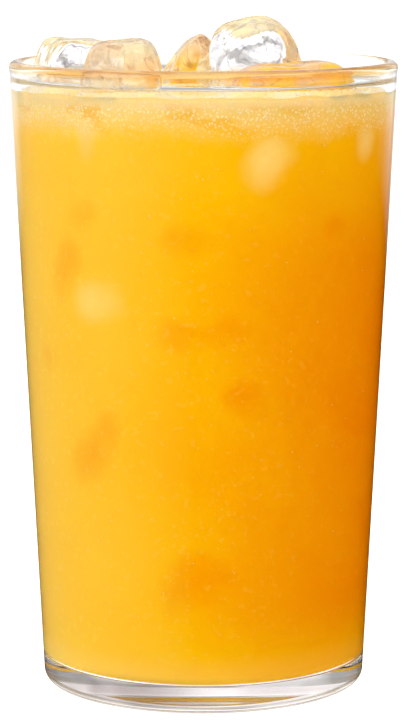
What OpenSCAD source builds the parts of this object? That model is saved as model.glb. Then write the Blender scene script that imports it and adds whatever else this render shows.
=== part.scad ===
// Tall tapered glass of orange juice with five melted ice cubes standing out of it.
// Millimetres. The glass stands on z = 0 with its axis on the z axis; the front is at -y.

/* [Glass] */
// height of the glass from the table to the top of the rim
glass_height = 125; // [90:1:160]
// outside diameter of the rim
rim_diameter = 77.1; // [64:0.1:100]
// outside diameter of the wall carried down to the table
foot_diameter = 64.4; // [52:0.1:76]
// thickness of the wall between heel and rim
wall = 2.1; // [1.4:0.1:3]
// thickness of the clear base under the juice
base_thickness = 5.4; // [3.5:0.1:9]
// rounding between the wall and the underside
heel_radius = 2.5; // [1:0.1:4]
// rounding of the corner inside, between wall and floor
corner_radius = 2.2; // [1:0.1:5]

/* [Rim and foot] */
// thickness of the fire-polished bead round the rim
bead_thickness = 2.6; // [2:0.1:4]
// height of the bead, from its underside to the top of the rim
bead_height = 4; // [3:0.1:7]
// how far the bead stands out from the wall
bead_proud = 0.25; // [0.1:0.05:0.6]
// width across the shallow hollow under the base
hollow_width = 50; // [20:1:54]
// depth of the shallow hollow under the base
hollow_depth = 0.9; // [0.3:0.1:2]

/* [Juice] */
// distance from the juice up to the top of the rim
head_space = 7; // [5:0.5:25]

/* [Ice] */
// gap kept between the ice and the glass
ice_clearance = 0.4; // [0.2:0.1:2]
// radius of the circle the ice cubes keep to before they are made to fit
ice_ring = 34.7; // [33:0.1:40]
// how far the middle of each face of a cube has melted in
melt_hollow = 0.7; // [0:0.1:1.2]
// height of the soft ripples round each cube
melt_ripple = 0.35; // [0:0.05:0.6]

/* [Left cube] */
// width, depth and height of the left cube
left_size = [16.5, 22, 26.5]; // [12:0.5:22]
// place of its middle: across, away from the front, above the juice
left_place = [-25, -0.5, -1]; // [-26:0.5:0]
// turn of the left cube about x, y and z
left_turn = [0, 3, 19]; // [-90:1:90]
// squareness of the left cube: 2 is an egg, 8 is nearly a sharp box
left_square = 4.5; // [2.5:0.1:8]

/* [Front cube] */
// width, depth and height of the front cube
front_size = [16.5, 18, 30]; // [12:0.5:20]
// place of its middle: across, away from the front, above the juice
front_place = [-14.8, -19.9, -2]; // [-21:0.5:0]
// turn of the front cube about x, y and z
front_turn = [3, -5, -2]; // [-90:1:90]
// squareness of the front cube
front_square = 4; // [2.5:0.1:8]

/* [Slab] */
// width, depth and height of the leaning slab
slab_size = [9.5, 22, 30]; // [7:0.5:12]
// place of its middle: across, away from the front, above the juice
slab_place = [-6.5, 20.5, -2.5]; // [-10:0.5:22]
// turn of the slab about x, y and z
slab_turn = [-18, 33, 6]; // [-90:1:90]
// squareness of the slab
slab_square = 4.5; // [2.5:0.1:8]

/* [Tall cube] */
// width, depth and height of the tall round-topped cube
tall_size = [18.5, 22.5, 30]; // [12:0.5:20]
// place of its middle: across, away from the front, above the juice
tall_place = [11, 6, 1]; // [0:0.5:12]
// turn of the tall cube about x, y and z
tall_turn = [16, -12, 16]; // [-90:1:90]
// squareness of the tall cube
tall_square = 3; // [2.5:0.1:8]

/* [Right cube] */
// width, depth and height of the low right cube
right_size = [26.5, 16.5, 23.5]; // [12:0.5:28]
// place of its middle: across, away from the front, above the juice
right_place = [17, -15, -3.5]; // [-17:0.5:18]
// turn of the right cube about x, y and z
right_turn = [2, -4, 12]; // [-90:1:90]
// squareness of the right cube
right_square = 3.5; // [2.5:0.1:8]

/* [Hidden] */
$fn = 96;
rim_radius = rim_diameter / 2;
foot_radius = foot_diameter / 2;
bead_radius = bead_thickness / 2;
bead_foot = glass_height - bead_height;
juice_level = glass_height - head_space;
// outward lean of the wall for each millimetre of height
lean = (rim_radius - bead_proud - foot_radius) / bead_foot;
lean_angle = atan(lean);
// radius of the sphere that cuts the hollow under the base
hollow_radius = (pow(hollow_width / 2, 2) + pow(hollow_depth, 2)) / (2 * hollow_depth);
// small overlap that joins two shapes of a profile
join = 0.01;
// steps round and along each ice cube
ice_around = 24;
ice_rings = 12;
// the cubes shrink together where the glass is too narrow for them
ice_low = juice_level - max(left_size.z, front_size.z, right_size.z) / 2;
ice_fit = min(1, (inner_radius(ice_low) - ice_clearance) / ice_ring);

function outer_radius(z) = foot_radius + lean * z;
function inner_radius(z) = outer_radius(z) - wall / cos(lean_angle);

// Middle of a circle of radius r that touches the level z = base and a leaning wall face.
function corner_middle(face, base, r) = [face + lean * (base + r) - r / cos(lean_angle), base + r];

// Point where that circle touches the wall face.
function corner_touch(face, base, r) =
    corner_middle(face, base, r) + r * [cos(lean_angle), -sin(lean_angle)];

// Half profile of a tapered round: flat underside, rounded corner, straight wall up to a level.
module taper_profile(face, base, r, top) {
    middle = corner_middle(face, base, r);
    touch = corner_touch(face, base, r);
    polygon([[0, base], [middle.x, base], middle, touch, [face + lean * top, top], [0, top]]);
    intersection() {
        translate(middle) circle(r);
        translate([middle.x - join, base]) square([r * 2, r]);
    }
}

// Half profile of the rounded bead that closes the wall at the rim.
module bead_profile() {
    middle = rim_radius - bead_radius;
    low = bead_foot + bead_radius;
    high = glass_height - bead_radius;
    translate([middle, high]) circle(bead_radius);
    translate([middle - bead_proud, low]) circle(bead_radius);
    polygon([
        [middle - bead_radius, high],
        [middle - bead_proud - bead_radius, low],
        [middle - bead_proud + bead_radius, low],
        [middle + bead_radius, high]
    ]);
}

// The room inside the glass, up to a level.
module inside(top) {
    rotate_extrude()
        taper_profile(foot_radius - wall / cos(lean_angle), base_thickness, corner_radius, top);
}

module glass() {
    color([0.93, 0.96, 0.97, 0.35])
    difference() {
        union() {
            difference() {
                rotate_extrude() taper_profile(foot_radius, 0, heel_radius, bead_foot + bead_radius);
                inside(glass_height);
            }
            rotate_extrude() bead_profile();
        }
        translate([0, 0, hollow_depth - hollow_radius]) sphere(hollow_radius, $fn = 360);
    }
}

// How far a direction looks straight out of a face: 0 near the edges, 1 in its middle.
function face_on(d) = let (t = max(0, min(1, (abs(d) - 0.75) / 0.25))) t * t * (3 - 2 * t);

// Point on a melted cube in the direction given by a latitude and a longitude.
function melted(lat, long, size, square, wave) = let (
        d = [cos(lat) * cos(long), cos(lat) * sin(long), sin(lat)],
        sum = pow(abs(d.x), square) + pow(abs(d.y), square) + pow(abs(d.z), square),
        shell = pow(sum, -1 / square) / 2 * [d.x * size.x, d.y * size.y, d.z * size.z],
        hollow = melt_hollow * (face_on(d.x) + face_on(d.y) + face_on(d.z)),
        ripple = melt_ripple * (1 + sin(3 * long + wave) * cos(2 * lat + wave) * pow(cos(lat), 2))
    ) shell * (1 - (hollow + ripple) / norm(shell));

// A melted cube as rings of points closed by a point at each pole.
module melted_cube(size, square, wave) {
    rings = [for (i = [1:ice_rings - 1], j = [0:ice_around - 1])
        melted(-90 + 180 * i / ice_rings, 360 * j / ice_around, size, square, wave)];
    poles = [melted(-90, 0, size, square, wave), melted(90, 0, size, square, wave)];
    last = (ice_rings - 2) * ice_around;
    bottom = len(rings);
    sides = [for (i = [0:ice_rings - 3], j = [0:ice_around - 1], half = [0, 1])
        let (
            a = i * ice_around + j,
            b = i * ice_around + (j + 1) % ice_around
        ) half == 0 ? [a, b + ice_around, b] : [a, a + ice_around, b + ice_around]];
    caps = [for (j = [0:ice_around - 1], end = [0, 1])
        let (k = (j + 1) % ice_around) end == 0 ? [bottom, j, k] : [bottom + 1, last + k, last + j]];
    polyhedron(concat(rings, poles), concat(sides, caps));
}

// A melted cube put in its place in the glass, its place measured from the juice.
module placed_cube(size, place, turn, square, wave) {
    translate([0, 0, juice_level])
    scale(ice_fit)
    translate(place)
    rotate(turn)
        melted_cube(size, square, wave);
}

module ice_left() {
    color([0.90, 0.93, 0.95, 0.5]) placed_cube(left_size, left_place, left_turn, left_square, 20);
}

module ice_front() {
    color([0.90, 0.93, 0.95, 0.5]) placed_cube(front_size, front_place, front_turn, front_square, 80);
}

module ice_slab() {
    color([0.90, 0.93, 0.95, 0.5]) placed_cube(slab_size, slab_place, slab_turn, slab_square, 140);
}

module ice_tall() {
    color([0.90, 0.93, 0.95, 0.5]) placed_cube(tall_size, tall_place, tall_turn, tall_square, 200);
}

module ice_right() {
    color([0.90, 0.93, 0.95, 0.5]) placed_cube(right_size, right_place, right_turn, right_square, 260);
}

// The juice fills the glass up to its level and is cut round the ice.
module juice() {
    color([0.96, 0.70, 0.08])
    difference() {
        inside(juice_level);
        ice_left();
        ice_front();
        ice_slab();
        ice_tall();
        ice_right();
    }
}

glass();
juice();
ice_left();
ice_front();
ice_slab();
ice_tall();
ice_right();
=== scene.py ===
import math

import bmesh
import bpy
from mathutils import Matrix, Vector, noise
from mathutils.bvhtree import BVHTree


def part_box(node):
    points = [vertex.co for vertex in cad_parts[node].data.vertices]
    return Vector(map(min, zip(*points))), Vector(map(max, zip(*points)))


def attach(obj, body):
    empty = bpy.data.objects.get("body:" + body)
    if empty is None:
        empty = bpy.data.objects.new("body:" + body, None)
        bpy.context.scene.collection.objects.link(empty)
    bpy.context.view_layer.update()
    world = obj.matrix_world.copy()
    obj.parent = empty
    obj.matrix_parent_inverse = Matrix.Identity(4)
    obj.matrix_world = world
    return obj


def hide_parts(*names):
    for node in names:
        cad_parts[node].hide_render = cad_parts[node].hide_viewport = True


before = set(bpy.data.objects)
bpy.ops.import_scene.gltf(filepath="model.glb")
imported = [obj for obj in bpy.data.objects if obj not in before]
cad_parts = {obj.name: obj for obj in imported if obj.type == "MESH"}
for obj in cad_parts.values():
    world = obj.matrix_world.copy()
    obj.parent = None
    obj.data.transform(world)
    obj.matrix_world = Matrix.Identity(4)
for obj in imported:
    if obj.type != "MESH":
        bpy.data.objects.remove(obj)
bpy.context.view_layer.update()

MM = 0.001

# ---------------------------------------------------------------- sizes, from the frame and the glass
_, GLASS_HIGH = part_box("glass")
JUICE_LOW, JUICE_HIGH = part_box("juice")
HEIGHT = GLASS_HIGH.z
RIM_RADIUS = GLASS_HIGH.x
FLOOR = JUICE_LOW.z
LEVEL = JUICE_HIGH.z
SURFACE_RADIUS = JUICE_HIGH.x

WALL = 2.1 * MM
HEEL_RADIUS = 2.5 * MM
CORNER_RADIUS = 2.2 * MM
BEAD_THICKNESS = 2.6 * MM
BEAD_HEIGHT = 4.0 * MM
BEAD_PROUD = 0.25 * MM
HEEL_TOP = 6.0 * MM
HOLLOW_RADIUS = 25.0 * MM
HOLLOW_DEPTH = 0.9 * MM

# the juice runs this far into the wall and the ice, so that no gap of air shows
INTO_WALL = 0.12 * MM
INTO_ICE = 0.12 * MM
FROTH_DEPTH = 0.6 * MM
CLIMB = 1.7 * MM
CLIMB_REACH = 1.3 * MM
ICE_CLIMB = 2.8 * MM
ICE_CLIMB_REACH = 2.2 * MM
BUBBLE_BAND = 5 * MM

# painted light: the juice turns from lit yellow to shaded orange between these distances left and right
# of the axis
PAINTED_LIGHT_SPAN = 34 * MM

GLASS_AROUND = 256
FROTH_AROUND = 224
JUICE_AROUND = 192

ICE_NODES = ("ice_left", "ice_front", "ice_slab", "ice_tall", "ice_right")
# how far the film of juice and froth reaches up each cube, and how orange it is
JUICE_FILM = {
    "ice_left": (6 * MM, 0.0),
    "ice_front": (14 * MM, 0.35),
    "ice_slab": (15 * MM, 0.25),
    "ice_tall": (5 * MM, 0.2),
    "ice_right": (18 * MM, 1.0),
}

# the wall leans out from the foot to the bead
BEAD_FOOT = HEIGHT - BEAD_HEIGHT
FOOT_RADIUS = 32.2 * MM
LEAN = (RIM_RADIUS - BEAD_PROUD - FOOT_RADIUS) / BEAD_FOOT
SLANT = math.sqrt(1 + LEAN * LEAN)


def wall_outside(z):
    return FOOT_RADIUS + LEAN * z


def wall_inside(z):
    return wall_outside(z) - WALL * SLANT


def smooth(low, high, x):
    t = min(1.0, max(0.0, (x - low) / (high - low)))
    return t * t * (3 - 2 * t)


# ---------------------------------------------------------------- node helpers
def srgb(r, g, b, a=1.0):
    """A colour given as seen on a screen, 0 to 255, as the linear one that nodes take."""
    line = [c / 255 for c in (r, g, b)]
    return [c / 12.92 if c <= 0.04045 else ((c + 0.055) / 1.055) ** 2.4 for c in line] + [a]


class Finish:
    """A material under construction: a Principled shader and short calls that add pattern nodes to it."""

    def __init__(self, name, **values):
        self.material = bpy.data.materials.new(name)
        self.material.use_nodes = True
        self.tree = self.material.node_tree
        self.shader = self.tree.nodes["Principled BSDF"]
        self.place = self.add("ShaderNodeTexCoord").outputs["Object"]
        for key, value in values.items():
            self.shader.inputs[key.replace("_", " ")].default_value = value

    def add(self, kind, **settings):
        node = self.tree.nodes.new(kind)
        for key, value in settings.items():
            setattr(node, key, value)
        return node

    def link(self, a, b):
        self.tree.links.new(a, b)

    def feed(self, socket, value):
        if isinstance(value, bpy.types.NodeSocket):
            self.link(value, socket)
        else:
            socket.default_value = value

    def noise(self, scale, detail=3.0, roughness=0.5, distortion=0.0, stretch=None):
        node = self.add("ShaderNodeTexNoise")
        node.inputs["Scale"].default_value = scale
        node.inputs["Detail"].default_value = detail
        node.inputs["Roughness"].default_value = roughness
        node.inputs["Distortion"].default_value = distortion
        place = self.place
        if stretch:
            mapping = self.add("ShaderNodeMapping")
            mapping.inputs["Scale"].default_value = stretch
            self.link(self.place, mapping.inputs["Vector"])
            place = mapping.outputs["Vector"]
        self.link(place, node.inputs["Vector"])
        return node.outputs["Fac"]

    def cells(self, scale):
        node = self.add("ShaderNodeTexVoronoi")
        node.inputs["Scale"].default_value = scale
        self.link(self.place, node.inputs["Vector"])
        return node.outputs["Distance"]

    def spread(self, value, low, high, to_low=0.0, to_high=1.0, curve="SMOOTHSTEP"):
        node = self.add("ShaderNodeMapRange", interpolation_type=curve)
        self.feed(node.inputs["Value"], value)
        ends = {"From Min": low, "From Max": high, "To Min": to_low, "To Max": to_high}
        for name, number in ends.items():
            self.feed(node.inputs[name], number)
        return node.outputs["Result"]

    def math(self, operation, a, b=0.0):
        node = self.add("ShaderNodeMath", operation=operation)
        self.feed(node.inputs[0], a)
        self.feed(node.inputs[1], b)
        return node.outputs[0]

    def mix(self, factor, a, b, blend="MIX"):
        node = self.add("ShaderNodeMix", data_type="RGBA", blend_type=blend)
        self.feed(node.inputs["Factor"], factor)
        self.feed(node.inputs["A"], a)
        self.feed(node.inputs["B"], b)
        return node.outputs["Result"]

    def attribute(self, name):
        node = self.add("ShaderNodeAttribute", attribute_name=name)
        return node.outputs["Fac"]

    def axes(self):
        node = self.add("ShaderNodeSeparateXYZ")
        self.link(self.place, node.inputs[0])
        return node.outputs

    def from_axis(self):
        """How far a point lies from the axis of the glass."""
        x, y, _ = self.axes()
        square = self.math("ADD", self.math("MULTIPLY", x, x), self.math("MULTIPLY", y, y))
        return self.math("SQRT", square)

    def bump(self, height, strength, distance):
        node = self.add("ShaderNodeBump")
        node.inputs["Strength"].default_value = strength
        node.inputs["Distance"].default_value = distance
        self.link(height, node.inputs["Height"])
        self.link(node.outputs["Normal"], self.shader.inputs["Normal"])

    def colour(self, value):
        self.feed(self.shader.inputs["Base Color"], value)

    def mirror_when_grazed(self, where):
        """Juice behind glass mirrors what meets it at a low angle, as under the floor of the base."""
        graze = self.add("ShaderNodeLayerWeight")
        graze.inputs["Blend"].default_value = 0.5
        mirror = self.add("ShaderNodeBsdfGlossy")
        mirror.inputs["Roughness"].default_value = 0.02
        # painted shade: the mirror is tinted darker in patches, standing in for dark surroundings it
        # would show
        mirror_shade_patches = self.spread(self.noise(26.0, detail=2.0), 0.38, 0.60)
        silver = self.mix(mirror_shade_patches, (0.97, 0.96, 0.97, 1.0), (0.82, 0.79, 0.81, 1.0))
        self.link(silver, mirror.inputs["Color"])
        both = self.add("ShaderNodeMixShader")
        grazed = self.spread(graze.outputs["Facing"], 0.42, 0.50)
        self.link(self.math("MULTIPLY", grazed, where), both.inputs["Fac"])
        self.link(self.shader.outputs["BSDF"], both.inputs[1])
        self.link(mirror.outputs["BSDF"], both.inputs[2])
        out = self.tree.nodes["Material Output"]
        self.link(both.outputs["Shader"], out.inputs["Surface"])

    def roughness(self, value):
        self.feed(self.shader.inputs["Roughness"], value)


# ---------------------------------------------------------------- finishes
def clear_glass():
    f = Finish("clear_glass", Transmission_Weight=1.0, IOR=1.5, Roughness=0.0)
    x, y, z = f.axes()
    patches = f.spread(f.noise(70.0, detail=2.0), 0.35, 0.6, 0.5, 1.0)
    front = f.math("MULTIPLY", f.spread(y, 20 * MM, -15 * MM, 0.25, 1.0), patches)
    lip = f.math("MULTIPLY", f.spread(z, HEIGHT - 0.9 * MM, HEIGHT - 0.3 * MM), front)
    cling = f.math("MULTIPLY", f.spread(z, HEIGHT - 2.4 * MM, HEIGHT - 1.5 * MM), front)
    tint = f.mix(cling, (0.985, 0.99, 0.988, 1.0), (0.92, 0.70, 0.36, 1.0))
    tint = f.mix(lip, tint, (0.46, 0.22, 0.07, 1.0))
    streaks = f.spread(f.noise(60.0, detail=2.0, stretch=(1.0, 1.0, 0.5)), 0.35, 0.65, -0.14, 0.14)
    # painted shade: from 0.8 to 6.2 mm up the foot is tinted a dark brownish tone in streaks, white at
    # the far left, darkest from 21 to 13 mm left of the axis and lighter to the right, standing in for
    # dark surroundings seen through the base
    clear = f.spread(x, -24 * MM, -21 * MM, 0.97, f.spread(x, -13 * MM, 9 * MM, 0.24, 0.80))
    painted_foot_shade = f.mix(f.math("ADD", clear, streaks), (0.24, 0.19, 0.18, 1.0), (0.985, 0.99, 0.985, 1.0))
    foot = f.math("MULTIPLY", f.spread(z, 6.2 * MM, 5.2 * MM), f.spread(z, 0.8 * MM, 2.0 * MM))
    f.colour(f.mix(foot, tint, painted_foot_shade))
    f.bump(f.noise(55.0, detail=1.0, stretch=(1.0, 1.0, 0.35)), 0.12, 0.25 * MM)
    return f.material


def clear_ice():
    f = Finish("clear_ice", Transmission_Weight=1.0, IOR=1.15)
    patches = f.noise(150.0, detail=4.0, roughness=0.6, distortion=0.8)
    film = f.math("MULTIPLY", f.attribute("film"), f.spread(patches, 0.35, 0.6, 0.35, 1.0))
    orange = f.math("ADD", f.attribute("orange"), f.spread(patches, 0.52, 0.62, 0.0, 0.8))
    wet = f.mix(orange, srgb(252, 240, 184), srgb(244, 190, 40))
    wisps = f.spread(f.noise(95.0, detail=3.0, distortion=2.5), 0.46, 0.60)
    veins = f.math("ABSOLUTE", f.math("SUBTRACT", f.noise(70.0, detail=3.0, distortion=2.0), 0.5))
    veins = f.spread(veins, 0.022, 0.004)
    clean = f.mix(wisps, (1.0, 1.0, 1.0, 1.0), srgb(228, 228, 235))
    clean = f.mix(veins, clean, srgb(198, 196, 204))
    wet = f.mix(f.math("MULTIPLY", veins, 0.8), wet, srgb(222, 158, 50))
    f.colour(f.mix(film, clean, wet))
    clear = f.spread(film, 0.0, 1.0, 0.92, 0.6)
    clear = f.math("SUBTRACT", clear, f.math("MULTIPLY", film, f.math("MULTIPLY", orange, 0.3)))
    f.link(clear, f.shader.inputs["Transmission Weight"])
    f.roughness(f.spread(f.noise(160.0), 0.35, 0.75, 0.01, 0.08))
    f.bump(f.noise(220.0, detail=2.0), 0.25, 0.3 * MM)
    return f.material


def juice_painted_side_light(f, side, z):
    """Painted light: lit yellow on the left to shaded orange on the right, with soft clouds; the painted
    shade is paler near the top, and near the floor it is paler as painted light from below.
    """
    clouds = f.noise(38.0, detail=4.0, roughness=0.55, distortion=0.6)
    shade_eased_near_top = f.spread(z, 75 * MM, LEVEL, 1.0, 0.55)
    shade_eased_near_floor = f.spread(z, FLOOR, 22 * MM, 0.6, 1.0)
    lean = f.math("MULTIPLY", f.math("MULTIPLY", side, shade_eased_near_top), shade_eased_near_floor)
    lean = f.math("ADD", lean, f.math("MULTIPLY", clouds, 0.35))
    yellow = f.mix(f.spread(lean, 0.12, 0.55, curve="LINEAR"), srgb(243, 201, 54), srgb(240, 188, 6))
    return f.mix(f.spread(lean, 0.55, 1.2, curve="LINEAR"), yellow, srgb(236, 133, 0))


def juice_painted_light_by_sunken_ice(f, base):
    """Painted shade, darker where a sunken cube is close behind the wall, and a painted highlight, pale
    where one nearly touches it.
    """
    wander = f.math("MULTIPLY", f.math("SUBTRACT", f.noise(150.0, detail=2.0), 0.5), 0.5)
    # painted shade: darker and more orange where a sunken cube lies near behind the wall
    near = f.math("ADD", f.attribute("ice_near"), wander)
    base = f.mix(f.spread(near, 0.35, 0.95), base, (0.98, 0.78, 0.12, 1.0), "MULTIPLY")
    # painted highlight: pale where a sunken cube nearly touches the wall
    near = f.math("ADD", f.attribute("ice_touching"), wander)
    return f.mix(f.spread(near, 0.1, 1.1, 0.0, 0.6), base, srgb(246, 228, 154))


def juice_round_standing_ice(f, side, z, base):
    """Pale at the wall in front of a standing cube, and painted light in the hollows round the cubes,
    painted bright yellow; also gives where those hollows are, for the glowing added there.
    """
    foot = f.math("SUBTRACT", f.from_axis(), f.math("MULTIPLY", z, LEAN))
    at_wall = f.spread(foot, wall_inside(0) - 1.6 * MM, wall_inside(0) - 0.6 * MM)
    standing = f.attribute("ice_standing")
    # painted light: the pale tone shifts with the painted side light from the lit left to the shaded
    # right
    pale = f.mix(side, srgb(232, 216, 190), srgb(246, 214, 130))
    behind_wall = f.math("MULTIPLY", f.spread(standing, 0.1, 0.8, 0.0, 0.8), at_wall)
    base = f.mix(behind_wall, base, pale)
    inside = f.spread(at_wall, 0.0, 1.0, 0.9, 0.0)
    glowing_hollow = f.math("MULTIPLY", f.spread(standing, 0.5, 0.9), inside)
    # painted light: the hollows round the cubes are painted a bright yellow where they would lie in shade
    return f.mix(glowing_hollow, base, srgb(255, 232, 152)), glowing_hollow


def juice_foam(f, side, z, base):
    """Cream foam with ochre patches and small rounds, fading into the juice along a ragged line."""
    ragged = f.math("MULTIPLY", f.noise(420.0, detail=4.0, roughness=0.7), 4.0 * MM)
    rolling = f.math("MULTIPLY", f.noise(60.0, detail=2.0), 5.0 * MM)
    height = f.math("ADD", f.math("ADD", z, ragged), rolling)
    fade = f.spread(height, LEVEL - 3.0 * MM, LEVEL + 3.9 * MM)
    # painted light: the foam is lighter on the lit left and deeper on the shaded right
    foam = f.mix(side, srgb(246, 212, 132), srgb(242, 196, 100))
    ochre = f.noise(85.0, detail=3.0, stretch=(1.0, 1.0, 2.6))
    foam = f.mix(f.spread(ochre, 0.50, 0.62, 0.0, 0.8), foam, srgb(238, 182, 64))
    rounds = f.spread(f.cells(1700.0), 0.12, 0.48, 0.75, 0.0)
    foam = f.mix(rounds, foam, srgb(252, 236, 196))
    edge = f.spread(z, LEVEL - 1.0 * MM, LEVEL + 0.8 * MM, 0.0, 0.85)
    return f.mix(fade, base, f.mix(edge, foam, srgb(252, 208, 146)))


def cloudy_juice():
    f = Finish("cloudy_juice", Roughness=0.6, Specular_IOR_Level=0.0)
    x, _, z = f.axes()
    # painted light: side runs from 0 on the lit left to 1 on the shaded right, and shades the juice
    # colours below
    side = f.spread(x, -PAINTED_LIGHT_SPAN, PAINTED_LIGHT_SPAN, curve="LINEAR")
    base = juice_painted_light_by_sunken_ice(f, juice_painted_side_light(f, side, z))
    specks = f.spread(f.noise(800.0, detail=1.0), 0.58, 0.72)
    # painted light: pulp specks are lighter on the lit left and more orange on the shaded right
    speck = f.mix(side, srgb(254, 226, 110), srgb(246, 166, 20))
    base = f.mix(f.math("MULTIPLY", specks, 0.18), base, speck)
    base, glowing_hollow = juice_round_standing_ice(f, side, z, base)
    # painted light: the juice near the floor is paler, as if lit through the base, and keeps the painted
    # side light
    painted_light_from_below = f.spread(z, FLOOR + 7 * MM, FLOOR + 1 * MM, 0.0, 0.6)
    base = f.mix(painted_light_from_below, base, f.mix(side, srgb(254, 216, 100), srgb(246, 170, 40)))
    base = juice_foam(f, side, z, base)
    f.colour(base)
    # painted light: the juice in the hollows round the cubes glows faintly, standing in for light that
    # wanders through the juice
    f.link(base, f.shader.inputs["Emission Color"])
    f.link(f.math("MULTIPLY", glowing_hollow, 0.14), f.shader.inputs["Emission Strength"])
    f.shader.inputs["Subsurface Weight"].default_value = 0.5
    f.shader.inputs["Subsurface Radius"].default_value = (1.0, 0.42, 0.08)
    f.shader.inputs["Subsurface Scale"].default_value = 6 * MM
    f.mirror_when_grazed(f.spread(z, FLOOR + 3.0 * MM, FLOOR + 2.2 * MM))
    return f.material


def pale_froth():
    f = Finish("pale_froth", Specular_IOR_Level=0.4)
    holes = f.spread(f.cells(900.0), 0.1, 0.55)
    patches = f.spread(f.noise(120.0, detail=3.0), 0.25, 0.75)
    base = f.mix(patches, srgb(252, 214, 124), srgb(254, 234, 182))
    f.colour(f.mix(f.math("MULTIPLY", holes, 0.2), base, srgb(248, 190, 60)))
    f.roughness(f.spread(f.noise(300.0), 0.3, 0.7, 0.22, 0.5))
    f.bump(f.math("ADD", holes, f.noise(500.0)), 0.5, 0.3 * MM)
    f.shader.inputs["Subsurface Weight"].default_value = 0.3
    f.shader.inputs["Subsurface Radius"].default_value = (1.0, 0.6, 0.25)
    f.shader.inputs["Subsurface Scale"].default_value = 3 * MM
    return f.material


def bubble_film():
    f = Finish("bubble_film", Roughness=0.4, Specular_IOR_Level=0.0)
    f.colour(f.mix(f.noise(700.0), srgb(246, 206, 120), srgb(251, 230, 178)))
    return f.material


def orange_pulp():
    f = Finish("orange_pulp", Roughness=0.5, Specular_IOR_Level=0.0)
    # painted light: pulp is lit yellow on the left and shaded orange on the right, with random tone
    side = f.spread(f.axes()[0], -PAINTED_LIGHT_SPAN, PAINTED_LIGHT_SPAN, curve="LINEAR")
    painted_side_light_and_tone = f.math("ADD", side, f.spread(f.noise(600.0), 0.3, 0.7, -0.2, 0.2))
    f.colour(f.mix(painted_side_light_and_tone, srgb(252, 216, 100), srgb(246, 160, 30)))
    return f.material


def studio_paper():
    f = Finish("studio_paper", Roughness=0.9, Specular_IOR_Level=0.0)
    # painted shadow: under the glass, within 29 to 32 mm of the axis, the paper is darker and gives off
    # less light, in soft patches
    patches = f.spread(f.noise(45.0, detail=1.0), 0.42, 0.58, 0.70, 0.95)
    painted_contact_shadow = f.spread(f.from_axis(), 29 * MM, 32 * MM, patches, 1.0)
    paper = f.mix(f.noise(12.0), (0.48, 0.48, 0.48, 1.0), (0.52, 0.52, 0.52, 1.0))
    f.colour(f.mix(painted_contact_shadow, (0.30, 0.29, 0.30, 1.0), paper))
    f.shader.inputs["Emission Color"].default_value = (1.0, 1.0, 1.0, 1.0)
    f.link(painted_contact_shadow, f.shader.inputs["Emission Strength"])
    return f.material


# ---------------------------------------------------------------- mesh helpers
def make_piece(name, mesh, material, slot, *nodes):
    """A finished piece: it lies in the row's frame, takes its finish and stands for its nodes."""
    piece = bpy.data.objects.new(name, mesh)
    bpy.context.scene.collection.objects.link(piece)
    mesh.materials.clear()
    mesh.materials.append(material)
    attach(piece, "root")
    if nodes:
        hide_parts(*nodes)
    return piece


def arc(centre, radius, start, end, steps):
    """Points of an arc in a profile, angles in degrees counted from straight outwards."""
    turn = [math.radians(start + (end - start) * i / steps) for i in range(steps + 1)]
    return [(centre[0] + radius * math.cos(t), centre[1] + radius * math.sin(t)) for t in turn]


def lathe(name, profile, steps):
    """A closed round from a profile of (radius, height) points; points on the axis close it."""
    mesh = bmesh.new()
    rings = []
    for radius, height in profile:
        if radius < 1e-7:
            rings.append([mesh.verts.new((0, 0, height))])
            continue
        turn = [math.tau * i / steps for i in range(steps)]
        rings.append([mesh.verts.new((radius * math.cos(t), radius * math.sin(t), height)) for t in turn])
    for low, high in zip(rings, rings[1:] + rings[:1]):
        if len(low) == 1 and len(high) == 1:
            continue
        for i in range(steps):
            j = (i + 1) % steps
            corners = [low[i % len(low)], low[j % len(low)], high[j % len(high)], high[i % len(high)]]
            mesh.faces.new([c for n, c in enumerate(corners) if c not in corners[:n]])
    bmesh.ops.recalc_face_normals(mesh, faces=mesh.faces)
    data = bpy.data.meshes.new(name)
    mesh.to_mesh(data)
    mesh.free()
    data.shade_smooth()
    return data


def even_steps(start, end, steps):
    return [start + (end - start) * i / steps for i in range(steps + 1)]


def frame_mesh(node):
    """A merged copy of a node's mesh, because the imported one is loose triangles."""
    mesh = bmesh.new()
    mesh.from_mesh(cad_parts[node].data)
    bmesh.ops.remove_doubles(mesh, verts=mesh.verts, dist=1e-6)
    bmesh.ops.recalc_face_normals(mesh, faces=mesh.faces)
    data = bpy.data.meshes.new(node + "_copy")
    mesh.to_mesh(data)
    mesh.free()
    return data


def with_modifiers(mesh, *steps):
    """The mesh after modifiers given as (kind, settings), as a plain mesh."""
    carrier = bpy.data.objects.new("carrier", mesh)
    bpy.context.scene.collection.objects.link(carrier)
    for kind, settings in steps:
        modifier = carrier.modifiers.new(kind.lower(), kind)
        for key, value in settings.items():
            setattr(modifier, key, value)
    result = bpy.data.meshes.new_from_object(carrier.evaluated_get(bpy.context.evaluated_depsgraph_get()))
    bpy.data.objects.remove(carrier)
    result.validate()
    return result


def move_along_normals(mesh, amount):
    """Moves each vertex along its normal by amount(position)."""
    normals = [v.normal.copy() for v in mesh.vertices]
    for vertex, normal in zip(mesh.vertices, normals):
        vertex.co += normal * amount(vertex.co)
    mesh.update()


def cut_out(mesh, cutters):
    """The mesh less each cutter."""
    steps, carriers = [], []
    for cutter in cutters:
        carrier = bpy.data.objects.new("cutter", cutter)
        bpy.context.scene.collection.objects.link(carrier)
        carriers.append(carrier)
        steps.append(("BOOLEAN", {"operation": "DIFFERENCE", "object": carrier, "solver": "EXACT"}))
    result = with_modifiers(mesh, *steps)
    for carrier in carriers:
        bpy.data.objects.remove(carrier)
    return result


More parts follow.
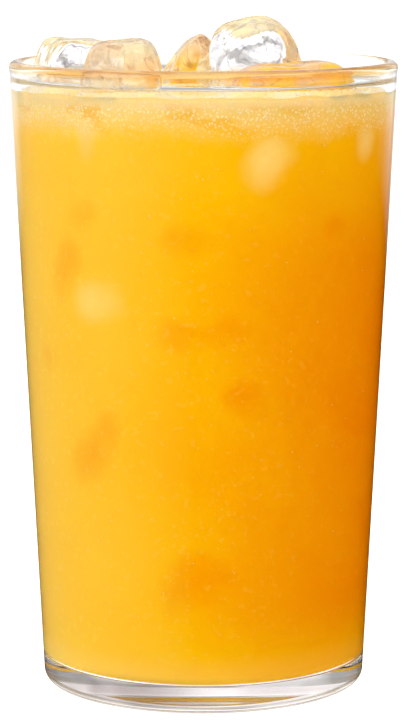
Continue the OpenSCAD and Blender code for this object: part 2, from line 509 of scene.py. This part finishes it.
# ---------------------------------------------------------------- glass
def corner(face, base, radius):
    """Middle of the circle that rounds the corner between a level and the leaning wall face."""
    return face + LEAN * (base + radius) - radius * SLANT, base + radius


def glass_mesh():
    slope = math.degrees(math.atan(LEAN))
    hollow_sphere = (HOLLOW_RADIUS ** 2 + HOLLOW_DEPTH ** 2) / (2 * HOLLOW_DEPTH)
    bead = BEAD_THICKNESS / 2
    inner_face = FOOT_RADIUS - WALL * SLANT
    profile = [(0.0, HOLLOW_DEPTH)]
    for r in even_steps(0.0, HOLLOW_RADIUS, 14)[1:]:
        profile.append((r, HOLLOW_DEPTH - hollow_sphere + math.sqrt(hollow_sphere ** 2 - r * r)))
    profile += arc(corner(FOOT_RADIUS, 0.0, HEEL_RADIUS), HEEL_RADIUS, -90, -slope, 12)
    low_bead = (RIM_RADIUS - bead - BEAD_PROUD, BEAD_FOOT + bead)
    high_bead = (RIM_RADIUS - bead, HEIGHT - bead)
    profile += [(wall_outside(z), z) for z in even_steps(HEEL_TOP, low_bead[1], 40)]
    profile += arc(high_bead, bead, -14, 180, 28)
    profile += arc(low_bead, bead, 180, 232, 8)
    profile += [(wall_inside(z), z) for z in even_steps(BEAD_FOOT + 0.2 * MM, BEAD_FOOT - 1 * MM, 8)]
    profile += [(wall_inside(z), z) for z in even_steps(BEAD_FOOT - 3 * MM, FLOOR + 3 * MM, 30)]
    profile += arc(corner(inner_face, FLOOR, CORNER_RADIUS), CORNER_RADIUS, -slope, -90, 12)
    profile += [(r, FLOOR) for r in even_steps(27 * MM, 0.0, 10)]
    return lathe("glass_body", profile, GLASS_AROUND)


# ---------------------------------------------------------------- ice
def melt_detail(seed, depth):
    """Shallow dimples and ripples of melting ice, as a height along the normal."""
    shift = Vector((seed * 1.7, seed * 0.6, seed * 2.9))

    def amount(p):
        soft = noise.noise(p * 110 + shift)
        fine = noise.noise(p * 330 + shift * 2)
        return depth * (soft * 0.8 + fine * 0.2) - depth * 0.4

    return amount


def ice_mesh(node, seed):
    mesh = with_modifiers(frame_mesh(node), ("SUBSURF", {"levels": 3, "render_levels": 3}))
    move_along_normals(mesh, melt_detail(seed, 0.45 * MM))
    reach, orange = JUICE_FILM[node]
    film = mesh.attributes.new("film", "FLOAT", "POINT")
    tint = mesh.attributes.new("orange", "FLOAT", "POINT")
    for i, vertex in enumerate(mesh.vertices):
        ragged = noise.noise(vertex.co * 90 + Vector((seed, 0, 0))) * 5 * MM
        film.data[i].value = smooth(LEVEL + reach, LEVEL + reach * 0.3, vertex.co.z + ragged)
        tint.data[i].value = orange
    mesh.shade_smooth()
    return mesh


def shrunk(mesh, by):
    """A copy of a closed mesh, its skin moved inwards."""
    copy = mesh.copy()
    move_along_normals(copy, lambda p: -by)
    return copy


# Cubes sunk in the juice: turn round the glass from the front in degrees, height as a share of the
# level, depth behind the wall and edge length in mm, how square it still is (2 is a ball), and the
# cube's own spin, lean and nod as seen from outside.
TOUCHING = (
    (20, 0.915, 0.9, 11, 3.2, (30, 20, 15)),
    (-35, 0.685, 1.5, 14, 2.5, (4, 10, 41)),
    (150, 0.62, 0.9, 18, 2.8, (35, 25, 15)),
)
SUNKEN = (
    (-41, 0.825, 1.7, 14, 4, (42, 10, 35)),
    (-49, 0.735, 1.5, 16, 4, (45, 20, 8)),
    (-3, 0.79, 1.6, 17, 4, (12, 14, 42)),
    (0, 0.64, 1.7, 20, 4, (8, -4, 45)),
    (-60, 0.575, 1.9, 16, 4, (40, 10, 30)),
    (-38, 0.445, 1.4, 20, 4, (45, 27, 0)),
    (17, 0.520, 1.5, 19, 4, (45, -22, 20)),
    (1, 0.215, 1.2, 25, 3, (22, 12, 14)),
    (48, 0.80, 2.0, 17, 4, (20, 15, 35)),
    (62, 0.40, 2.2, 22, 4, (25, 15, 35)),
    (105, 0.73, 1.2, 21, 4, (35, 25, 15)),
    (165, 0.36, 1.4, 24, 4, (15, 35, 40)),
    (-130, 0.62, 1.2, 22, 4, (40, 10, 20)),
    (-150, 0.30, 1.6, 24, 4, (20, 40, 30)),
    (105, 0.33, 1.8, 23, 4, (30, 12, 38)),
)


def melted_cube(edge, squareness, around=32, rings=16):
    """A melted cube of a given edge round the origin."""
    loops = []
    mesh = bmesh.new()
    for i in range(rings + 1):
        lat = math.pi * (i / rings - 0.5)
        count = 1 if i in (0, rings) else around
        ring = []
        for j in range(count):
            turn = math.tau * j / around
            d = Vector((math.cos(lat) * math.cos(turn), math.cos(lat) * math.sin(turn), math.sin(lat)))
            total = sum(abs(c) ** squareness for c in d)
            ring.append(mesh.verts.new(d * (edge / 2 * total ** (-1 / squareness))))
        loops.append(ring)
    for low, high in zip(loops, loops[1:]):
        for j in range(around):
            k = (j + 1) % around
            corners = [low[j % len(low)], low[k % len(low)], high[k % len(high)], high[j % len(high)]]
            mesh.faces.new([c for n, c in enumerate(corners) if c not in corners[:n]])
    return mesh


def sunken_ice_mesh(cubes):
    """Sunken cubes as one mesh, each pushed outwards until it lies at its depth behind the wall."""
    together = bmesh.new()
    for turn, share, depth, edge, squareness, (spin, lean, nod) in cubes:
        cube = melted_cube(edge * MM, squareness)
        for angle, axis in ((spin, "Z"), (lean, "Y"), (nod, "X"), (turn, "Z")):
            bmesh.ops.rotate(cube, verts=cube.verts, matrix=Matrix.Rotation(math.radians(angle), 3, axis))
        out = Vector((math.sin(math.radians(turn)), -math.cos(math.radians(turn)), 0))
        height = share * LEVEL
        room = []
        for v in cube.verts:
            side = v.co - out * v.co.dot(out)
            reach = wall_inside(height + v.co.z) - depth * MM
            across = Vector((side.x, side.y, 0)).length
            room.append(math.sqrt(max(reach * reach - across * across, 0)) - v.co.dot(out))
        bmesh.ops.translate(cube, verts=cube.verts, vec=out * min(room) + Vector((0, 0, height)))
        part = bpy.data.meshes.new("part")
        cube.to_mesh(part)
        cube.free()
        together.from_mesh(part)
        bpy.data.meshes.remove(part)
    data = bpy.data.meshes.new("sunken_ice")
    together.to_mesh(data)
    together.free()
    data.shade_smooth()
    return data


# ---------------------------------------------------------------- juice and froth
def surface_height(point, ice_trees):
    """How far the surface climbs the wall and the ice, above its level."""
    climb = CLIMB * math.exp(-(SURFACE_RADIUS - math.hypot(point.x, point.y)) / CLIMB_REACH)
    for tree in ice_trees:
        found = tree.find_nearest(point)
        climb = max(climb, ICE_CLIMB * math.exp(-found[3] / ICE_CLIMB_REACH))
    return climb


def juice_mesh(cutters):
    slope = math.degrees(math.atan(LEAN))
    top = LEVEL - FROTH_DEPTH * 0.8
    face = FOOT_RADIUS - WALL * SLANT + INTO_WALL
    profile = [(r, FLOOR - INTO_WALL) for r in even_steps(0.0, 26 * MM, 8)]
    profile += arc(corner(face, FLOOR - INTO_WALL, CORNER_RADIUS), CORNER_RADIUS, -90, -slope, 8)
    profile += [(wall_inside(z) + INTO_WALL, z) for z in even_steps(FLOOR + 4 * MM, LEVEL + CLIMB, 124)]
    profile += [(wall_inside(LEVEL + CLIMB) - 0.1 * MM, LEVEL + CLIMB)]
    profile += [(r, top) for r in even_steps(wall_inside(top) - 2 * MM, 0.0, 12)]
    mesh = lathe("juice_body", profile, JUICE_AROUND)
    for vertex in mesh.vertices:
        p = vertex.co
        flat = Vector((p.x, p.y, 0))
        ragged = noise.noise(flat * 130) * 0.7 + noise.noise(flat * 500) * 0.3
        p.z += ragged * 0.8 * MM * smooth(LEVEL + 0.4 * MM, LEVEL + CLIMB, p.z)
    mesh.update()
    return cut_out(mesh, cutters)


def froth_mesh(cutters, ice_trees):
    bottom = LEVEL - FROTH_DEPTH
    edge = wall_inside(LEVEL) + INTO_WALL * 0.3
    profile = [(0.0, bottom), (wall_inside(bottom) - 0.3 * MM, bottom), (edge, LEVEL)]
    profile += [(r, LEVEL) for r in even_steps(edge - 0.4 * MM, 0.0, 90)]
    mesh = lathe("froth", profile, FROTH_AROUND)
    for vertex in mesh.vertices:
        if vertex.co.z > LEVEL - 0.1 * MM:
            p = vertex.co.copy()
            lumps = noise.noise(p * 160) * 0.25 + noise.noise(p * 600) * 0.10
            vertex.co.z += surface_height(p, ice_trees) + lumps * MM
    mesh.update()
    return cut_out(mesh, cutters)


def joined(meshes):
    """Several meshes as one."""
    both = bmesh.new()
    for mesh in meshes:
        both.from_mesh(mesh)
    data = bpy.data.meshes.new("joined")
    both.to_mesh(data)
    both.free()
    return data


def nearness_tree(mesh):
    return BVHTree.FromPolygons([v.co for v in mesh.vertices], [p.vertices for p in mesh.polygons])


def mark_near(mesh, name, other, reach):
    """Writes on each vertex how near the other mesh comes: 1 where they touch, 0 from the reach on."""
    tree = nearness_tree(other)
    near = mesh.attributes.new(name, "FLOAT", "POINT")
    for i, vertex in enumerate(mesh.vertices):
        found = tree.find_nearest(vertex.co, reach)
        near.data[i].value = 1 - smooth(0.0, reach, found[3]) if found[0] else 0.0


# ---------------------------------------------------------------- scattered bubbles and pulp
def scatter_tree(name, stretch):
    """Geometry Nodes: small rounds spread over a surface, thick where the attribute "amount" is high."""
    tree = bpy.data.node_groups.new(name, "GeometryNodeTree")
    tree.interface.new_socket("Geometry", in_out="INPUT", socket_type="NodeSocketGeometry")
    inputs = {}
    kinds = {"Density": "Float", "Smallest": "Float", "Largest": "Float",
             "Seed": "Int", "Finish": "Material"}
    for label, kind in kinds.items():
        inputs[label] = tree.interface.new_socket(label, in_out="INPUT", socket_type="NodeSocket" + kind)
    tree.interface.new_socket("Geometry", in_out="OUTPUT", socket_type="NodeSocketGeometry")
    add = tree.nodes.new
    link = tree.links.new
    given = add("NodeGroupInput")
    spread = add("GeometryNodeDistributePointsOnFaces")
    amount = add("GeometryNodeInputNamedAttribute")
    amount.data_type = "FLOAT"
    amount.inputs["Name"].default_value = "amount"
    thick = add("ShaderNodeMath")
    thick.operation = "MULTIPLY"
    link(given.outputs["Density"], thick.inputs[0])
    link(amount.outputs["Attribute"], thick.inputs[1])
    link(given.outputs["Geometry"], spread.inputs["Mesh"])
    link(thick.outputs[0], spread.inputs["Density"])
    link(given.outputs["Seed"], spread.inputs["Seed"])
    grain = add("GeometryNodeMeshIcoSphere")
    grain.inputs["Radius"].default_value = 1.0
    grain.inputs["Subdivisions"].default_value = 1
    squeeze = add("GeometryNodeTransform")
    squeeze.inputs["Scale"].default_value = stretch
    link(grain.outputs["Mesh"], squeeze.inputs["Geometry"])
    chance = add("FunctionNodeRandomValue")
    link(given.outputs["Seed"], chance.inputs["Seed"])
    cubed = add("ShaderNodeMath")
    cubed.operation = "POWER"
    cubed.inputs[1].default_value = 3.0
    link(chance.outputs["Value"], cubed.inputs[0])
    size = add("ShaderNodeMapRange")
    link(cubed.outputs[0], size.inputs["Value"])
    link(given.outputs["Smallest"], size.inputs["To Min"])
    link(given.outputs["Largest"], size.inputs["To Max"])
    spin = add("FunctionNodeRandomValue")
    spin.data_type = "FLOAT_VECTOR"
    spin.inputs["Max"].default_value = (math.tau, math.tau, math.tau)
    place = add("GeometryNodeInstanceOnPoints")
    link(spread.outputs["Points"], place.inputs["Points"])
    link(squeeze.outputs["Geometry"], place.inputs["Instance"])
    link(spin.outputs["Value"], place.inputs["Rotation"])
    link(size.outputs["Result"], place.inputs["Scale"])
    real = add("GeometryNodeRealizeInstances")
    link(place.outputs["Instances"], real.inputs["Geometry"])
    paint = add("GeometryNodeSetMaterial")
    link(real.outputs["Geometry"], paint.inputs["Geometry"])
    link(given.outputs["Finish"], paint.inputs["Material"])
    out = add("NodeGroupOutput")
    link(paint.outputs["Geometry"], out.inputs["Geometry"])
    return tree, {label: socket.identifier for label, socket in inputs.items()}


def scatter(host, amount, stretch, **values):
    """Small rounds over the host mesh as a plain mesh; amount(position) from 0 to 1 thins them out."""
    spread = host.attributes.new("amount", "FLOAT", "POINT")
    for i, vertex in enumerate(host.vertices):
        spread.data[i].value = amount(vertex.co)
    carrier = bpy.data.objects.new("carrier", host)
    bpy.context.scene.collection.objects.link(carrier)
    tree, names = scatter_tree("small_rounds", stretch)
    modifier = carrier.modifiers.new("scatter", "NODES")
    modifier.node_group = tree
    for label, value in values.items():
        modifier[names[label]] = value
    result = bpy.data.meshes.new_from_object(carrier.evaluated_get(bpy.context.evaluated_depsgraph_get()))
    bpy.data.objects.remove(carrier)
    result.shade_smooth()
    return result


def wall_band(low, high, into, steps):
    """The juice's skin between two heights as an open band, for scattering on."""
    mesh = bmesh.new()
    rings = []
    for z in even_steps(low, high, steps):
        r = wall_inside(z) + into
        turn = [math.tau * i / FROTH_AROUND for i in range(FROTH_AROUND)]
        rings.append([mesh.verts.new((r * math.cos(t), r * math.sin(t), z)) for t in turn])
    for a, b in zip(rings, rings[1:]):
        for i in range(FROTH_AROUND):
            j = (i + 1) % FROTH_AROUND
            mesh.faces.new((a[i], a[j], b[j], b[i]))
    data = bpy.data.meshes.new("band")
    mesh.to_mesh(data)
    mesh.free()
    return data


# ---------------------------------------------------------------- build
def build_glass():
    piece = make_piece("glass_body", glass_mesh(), clear_glass(), "glass", "glass")
    piece.visible_shadow = False


def build_ice(finish):
    meshes = {}
    for seed, node in enumerate(ICE_NODES):
        meshes[node] = ice_mesh(node, seed + 1)
        piece = make_piece(node + "_clear", meshes[node], finish, "ice", node)
        piece.visible_shadow = False
    return meshes


def build_drink(ice, ice_finish):
    skins = list(ice.values())
    trees = [nearness_tree(mesh) for mesh in skins]
    touching = sunken_ice_mesh(TOUCHING)
    sunken = sunken_ice_mesh(SUNKEN)
    make_piece("touching_ice", touching, ice_finish, "ice")
    make_piece("sunken_ice", sunken, ice_finish, "ice")
    juice = juice_mesh([shrunk(m, INTO_ICE) for m in skins])
    # the nearness to sunken cubes drives painted shade and painted highlights on the juice, and the
    # nearness to the standing cubes the painted light in their hollows
    mark_near(juice, "ice_touching", touching, 4.5 * MM)
    mark_near(juice, "ice_near", sunken, 5.5 * MM)
    mark_near(juice, "ice_standing", joined(skins), 3.6 * MM)
    juice.shade_smooth()
    make_piece("juice_body", juice, cloudy_juice(), "juice", "juice")
    froth = froth_mesh([shrunk(m, INTO_ICE) for m in skins], trees)
    froth.shade_smooth()
    make_piece("froth", froth, pale_froth(), "juice")

    def on_surface(p):
        r = math.hypot(p.x, p.y)
        at_wall = smooth(SURFACE_RADIUS - 9 * MM, SURFACE_RADIUS, r)
        at_ice = max(math.exp(-tree.find_nearest(p)[3] / (2.5 * MM)) for tree in trees)
        clear_of_wall = 1 - smooth(SURFACE_RADIUS - 0.7 * MM, SURFACE_RADIUS - 0.3 * MM, r)
        return (0.15 + 0.85 * max(at_wall, at_ice)) * clear_of_wall * smooth(LEVEL - 0.6 * MM, LEVEL, p.z)

    film = bubble_film()
    bubbles = scatter(froth.copy(), on_surface, (1, 1, 1), Density=1.8e6, Smallest=0.06 * MM,
                      Largest=0.26 * MM, Seed=4, Finish=film)
    make_piece("froth_bubbles", bubbles, bubbles.materials[0], "juice")

    def down_the_side(p):
        left = 0.6 - 0.4 * p.x / SURFACE_RADIUS
        return left * smooth(LEVEL - BUBBLE_BAND, LEVEL, p.z)

    band = wall_band(LEVEL - BUBBLE_BAND, LEVEL + 1.2 * MM, INTO_WALL * 0.5, 24)
    side = scatter(band, down_the_side, (1, 1, 1), Density=2.0e6, Smallest=0.05 * MM,
                   Largest=0.20 * MM, Seed=9, Finish=film)
    make_piece("side_bubbles", side, side.materials[0], "juice")
    skin = wall_band(FLOOR + 4 * MM, LEVEL - 3 * MM, INTO_WALL * 0.4, 60)
    pulp = scatter(skin, lambda p: 1.0, (1.0, 0.5, 0.5), Density=1.1e5, Smallest=0.05 * MM,
                   Largest=0.19 * MM, Seed=21, Finish=orange_pulp())
    make_piece("pulp", pulp, pulp.materials[0], "juice")


# ---------------------------------------------------------------- studio
def build_floor():
    mesh = bmesh.new()
    bmesh.ops.create_grid(mesh, x_segments=20, y_segments=20, size=8.0)
    data = bpy.data.meshes.new("floor")
    mesh.to_mesh(data)
    mesh.free()
    data.materials.append(studio_paper())
    floor = bpy.data.objects.new("floor", data)
    floor.visible_glossy = False
    bpy.context.scene.collection.objects.link(floor)


def soft_box(name, place, aim, size, power):
    lamp = bpy.data.lights.new(name, "AREA")
    lamp.shape = "RECTANGLE"
    lamp.size, lamp.size_y = size
    lamp.energy = power
    holder = bpy.data.objects.new(name, lamp)
    holder.location = place
    holder.rotation_euler = (Vector(aim) - Vector(place)).to_track_quat("-Z", "Y").to_euler()
    holder.visible_transmission = False
    bpy.context.scene.collection.objects.link(holder)


def studio_world():
    """A white tent with a dark flag at each side; downwards it is a dim room, lighter on the left."""
    world = bpy.data.worlds.new("studio")
    world.use_nodes = True
    tree = world.node_tree
    place = tree.nodes.new("ShaderNodeTexCoord")
    axes = tree.nodes.new("ShaderNodeSeparateXYZ")
    tree.links.new(place.outputs["Generated"], axes.inputs[0])

    def ramp(value, low, high, to_low, to_high):
        node = tree.nodes.new("ShaderNodeMapRange")
        ends = {"From Min": low, "From Max": high, "To Min": to_low, "To Max": to_high}
        for key, number in ends.items():
            if isinstance(number, bpy.types.NodeSocket):
                tree.links.new(number, node.inputs[key])
            else:
                node.inputs[key].default_value = number
        tree.links.new(value, node.inputs["Value"])
        return node.outputs["Result"]

    card = ramp(axes.outputs["X"], -0.1, -0.85, 0.0, 0.38)
    low = ramp(axes.outputs["Z"], -0.40, -0.34, 0.95, card)
    right = ramp(axes.outputs["X"], 0.62, 0.82, 1.0, 0.22)
    both = ramp(axes.outputs["X"], -0.92, -0.78, 0.45, right)
    folds = tree.nodes.new("ShaderNodeTexNoise")
    folds.inputs["Scale"].default_value = 2.6
    folds.inputs["Detail"].default_value = 1.0
    tree.links.new(place.outputs["Generated"], folds.inputs["Vector"])
    cloth = ramp(folds.outputs["Fac"], 0.40, 0.56, 0.5, both)
    tent = ramp(axes.outputs["Z"], -0.13, -0.09, low, cloth)
    tree.nodes["Background"].inputs["Color"].default_value = (1.0, 1.0, 1.0, 1.0)
    tree.links.new(tent, tree.nodes["Background"].inputs["Strength"])
    return world


def build_studio():
    build_floor()
    world = studio_world()
    scene = bpy.context.scene
    scene.world = world
    middle = (0, 0, 0.07)
    soft_box("left", (-0.68, -0.50, 0.40), middle, (0.6, 0.8), 3.0)
    soft_box("right", (0.62, -0.58, 0.40), middle, (0.6, 0.8), 2.85)
    soft_box("back", (-0.25, 0.9, 0.8), middle, (1.0, 0.7), 2.0)
    soft_box("top", (0.0, 0.0, 0.95), (0, 0, 0.1), (0.7, 0.7), 1.9)
    scene.view_settings.view_transform = "Standard"
    scene.cycles.max_bounces = 20
    scene.cycles.transmission_bounces = 20
    scene.cycles.glossy_bounces = 8
    scene.cycles.sample_clamp_indirect = 6.0


def build_camera():
    """A long lens a little above the rim, tipped down."""
    distance, height, tip = 0.6297, 0.1601, 0.150
    lens = bpy.data.cameras.new("camera")
    lens.lens = 158.6
    lens.sensor_width = 36.0
    lens.shift_x = 0.0063
    camera = bpy.data.objects.new("camera", lens)
    camera.location = (0.0, -distance, height)
    camera.rotation_euler = (math.pi / 2 - tip, 0.0, 0.0)
    bpy.context.scene.collection.objects.link(camera)
    bpy.context.scene.camera = camera


build_glass()
ice_finish = clear_ice()
build_drink(build_ice(ice_finish), ice_finish)
build_studio()
build_camera()
